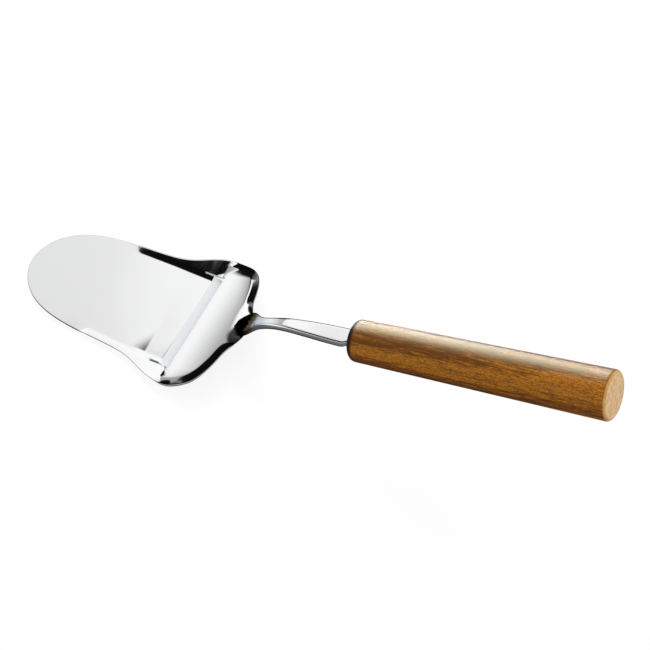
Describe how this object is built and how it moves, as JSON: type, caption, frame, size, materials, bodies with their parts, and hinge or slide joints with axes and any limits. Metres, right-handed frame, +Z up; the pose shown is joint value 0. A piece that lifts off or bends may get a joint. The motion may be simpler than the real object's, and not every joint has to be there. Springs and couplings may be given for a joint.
{
  "type": "cheese slicer",
  "caption": "Hand cheese slicer: a polished sheet blade with a raised cutting slot, a bent flat shank and a turned wooden handle.",
  "frame": {"origin": "on the underside of the blade's flat front plate, under the middle of its flat area", "axes": "+X from the blade's tip towards the butt of the handle, +Y across the blade, +Z up, square to the flat front plate"},
  "size_m": [0.2497, 0.0658, 0.0721],
  "materials": {
    "polished_steel": "mirror polished stainless steel, with a satin ground bevel along the cutting edge",
    "shank_steel": "polished stainless steel bar",
    "weld_steel": "satin weld metal, browned by heat",
    "beech": "oiled fine-grained hardwood with short dark flecks",
    "adhesive": "cured resin glue"
  },
  "bodies": {
    "root": {"blade": "polished_steel", "shank": "shank_steel", "foot_weld": "weld_steel", "handle": "beech", "tang_glue": "adhesive"}
  },
  "joints": []
}
